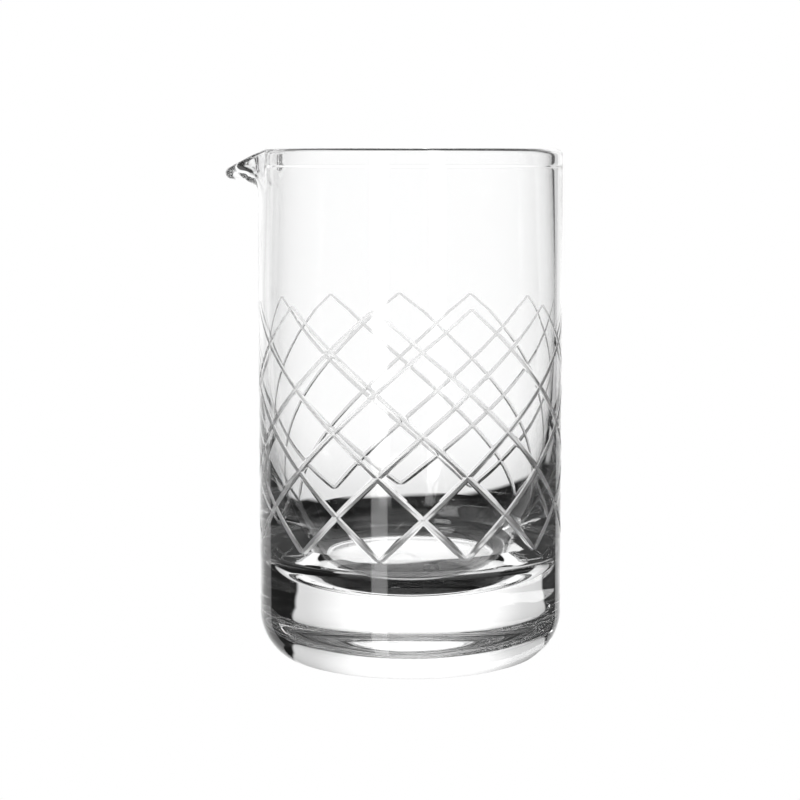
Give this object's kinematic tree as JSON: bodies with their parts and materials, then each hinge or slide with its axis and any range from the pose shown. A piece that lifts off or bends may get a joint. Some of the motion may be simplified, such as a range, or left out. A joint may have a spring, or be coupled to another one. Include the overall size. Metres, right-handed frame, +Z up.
{
  "type": "mixing glass",
  "caption": "Tall straight-sided bar mixing glass with a pulled pouring lip, a cut diamond pattern round the wall and a heavy solid base with a bowl-shaped floor.",
  "frame": {"origin": "centre of the foot, on the glass's axis, where it stands on the bar", "axes": "+Z up along the glass's axis out of the mouth; the pouring lip points to -X"},
  "size_m": [0.0996, 0.09, 0.1483],
  "materials": {
    "clear_glass": "clear, fire-polished, with ground and polished cuts"
  },
  "bodies": {
    "root": {"glass_body": "clear_glass", "heavy_base": "clear_glass"}
  },
  "joints": []
}
